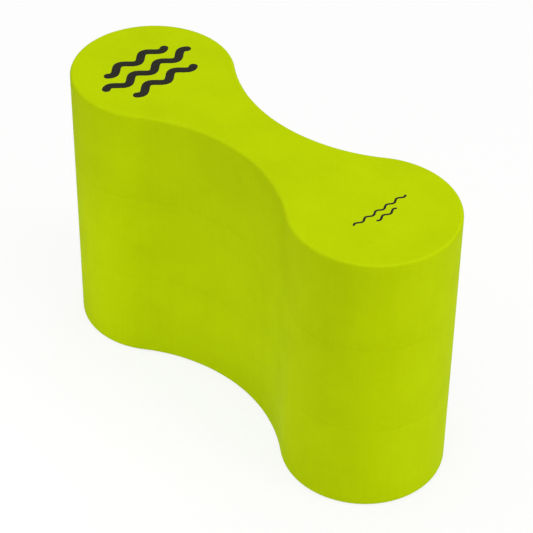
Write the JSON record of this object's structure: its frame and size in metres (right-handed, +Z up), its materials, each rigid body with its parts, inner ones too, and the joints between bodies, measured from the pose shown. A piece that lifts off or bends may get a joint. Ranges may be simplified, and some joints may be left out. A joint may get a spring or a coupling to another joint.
{
  "type": "pull buoy",
  "caption": "Figure-eight closed-cell foam float with round lobes, a hollowed waist and flat ends, glued up from sheets and gripped between a swimmer's thighs.",
  "frame": {"origin": "middle of the flat base, under the centre of the waist", "axes": "+X from lobe to lobe, +Y across the waist, +Z up the stack of sheets"},
  "size_m": [0.235, 0.082, 0.1504],
  "materials": {
    "foam": "matte",
    "adhesive": "satin"
  },
  "bodies": {
    "root": {"lower_foam_sheet": "foam", "lower_adhesive_film": "adhesive", "middle_foam_sheet": "foam", "upper_adhesive_film": "adhesive", "upper_foam_sheet": "foam"}
  },
  "joints": []
}
